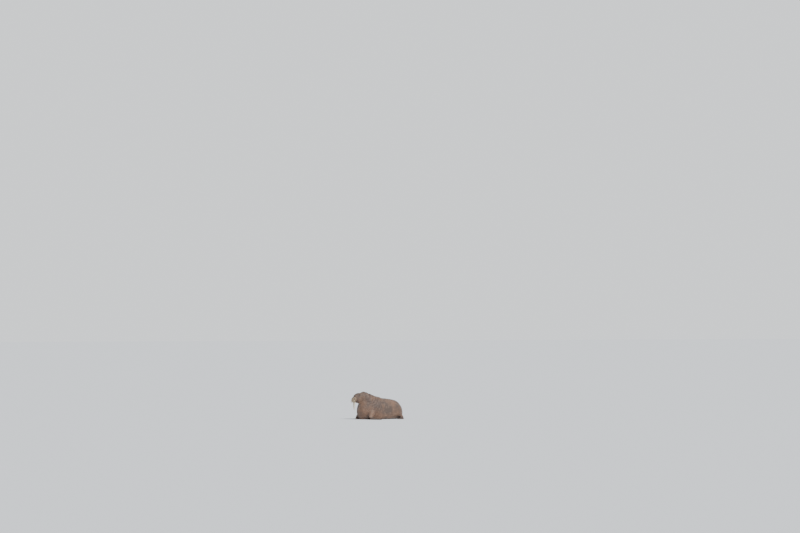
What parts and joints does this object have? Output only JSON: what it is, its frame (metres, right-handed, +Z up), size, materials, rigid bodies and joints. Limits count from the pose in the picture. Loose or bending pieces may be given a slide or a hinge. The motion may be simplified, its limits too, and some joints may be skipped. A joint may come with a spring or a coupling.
{
  "type": "walrus",
  "caption": "Life-size walrus with long tusks, resting on its belly and propped on its fore flippers, head raised and turned a little to its right.",
  "frame": {"origin": "on the ground, under the middle of the figure's box", "axes": "the head points along -Y, the animal's left side is +X, +Z is up"},
  "size_m": [1.9796, 2.5308, 1.2083],
  "materials": {
    "hide": "dull, thick wrinkled hide with very short hair",
    "flipper_hide": "dull bare hide, darker than the body",
    "ivory": "satin ivory, yellowed towards the gum",
    "eye": "wet, glossy dark brown"
  },
  "bodies": {
    "root": {"rump": "hide", "belly": "hide", "chest": "hide", "neck": "hide", "head": "hide", "whisker_pad_left": "hide", "whisker_pad_right": "hide", "lower_jaw": "hide", "tusk_left": "ivory", "tusk_right": "ivory", "eye_left": "eye", "eye_right": "eye", "fore_arm_left": "hide", "fore_arm_right": "hide", "fore_flipper_left": "flipper_hide", "fore_flipper_right": "flipper_hide", "hind_arm_left": "hide", "hind_arm_right": "hide", "hind_flipper_left": "flipper_hide", "hind_flipper_right": "flipper_hide", "tail": "hide"}
  },
  "joints": []
}
